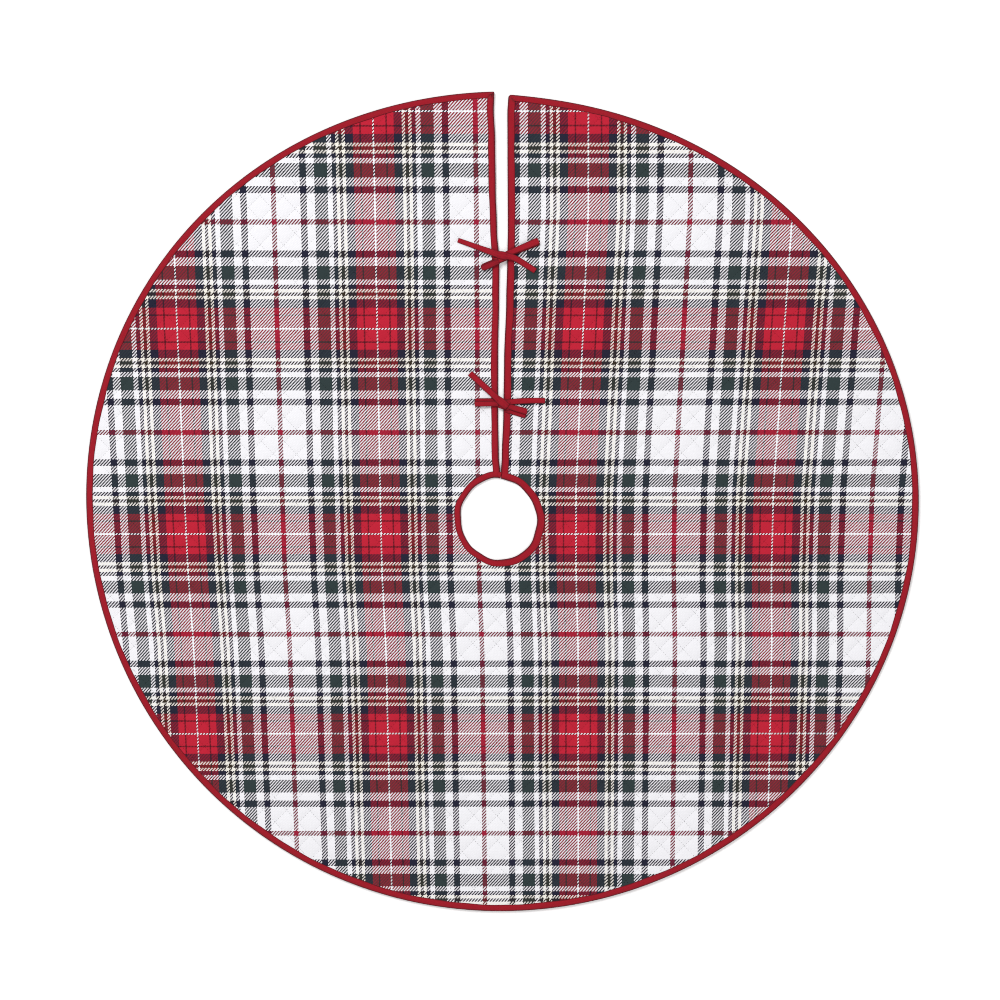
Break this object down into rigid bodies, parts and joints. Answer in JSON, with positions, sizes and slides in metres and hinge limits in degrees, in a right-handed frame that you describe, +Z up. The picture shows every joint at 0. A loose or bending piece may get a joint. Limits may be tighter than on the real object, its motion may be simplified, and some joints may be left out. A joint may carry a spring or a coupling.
{
  "type": "tree skirt",
  "caption": "Round quilted plaid tree skirt with a central trunk hole, a slit to the rim, red bound edges and tied bows across the slit.",
  "frame": {"origin": "middle of the skirt's outline, on the floor it lies on", "axes": "+Z up out of the plaid face; +Y from the trunk hole along the slit to the rim; +X to the right when the face is seen from above with the slit at the top"},
  "size_m": [1.2189, 1.1983, 0.0128],
  "materials": {
    "plaid_face": "brushed 2/2 twill cotton, woven plaid",
    "batting": "soft polyester wadding",
    "backing": "plain cotton sheeting",
    "red_tape": "folded cotton bias tape",
    "label": "blank woven tab"
  },
  "bodies": {
    "left_half": {"face_left": "plaid_face", "batting_left": "batting", "backing_left": "backing", "rim_binding_left": "red_tape", "slit_binding_left": "red_tape", "hole_binding_left": "red_tape", "upper_bow_knot": "red_tape", "upper_bow_left_tail": "red_tape", "upper_bow_left_loop": "red_tape", "lower_bow_knot": "red_tape", "lower_bow_left_tail": "red_tape", "lower_bow_left_loop": "red_tape", "care_label": "label"},
    "right_half": {"face_right": "plaid_face", "batting_right": "batting", "backing_right": "backing", "rim_binding_right": "red_tape", "slit_binding_right": "red_tape", "hole_binding_right": "red_tape", "upper_bow_right_tail": "red_tape", "upper_bow_right_loop": "red_tape", "lower_bow_right_tail": "red_tape", "lower_bow_right_loop": "red_tape"}
  },
  "joints": [
    {"name": "fold_in_half", "type": "hinge", "parent": "left_half", "child": "right_half", "pos_m": [0, 0, 0.014], "axis": [0, -1, 0], "range_deg": [0, 180]}
  ]
}
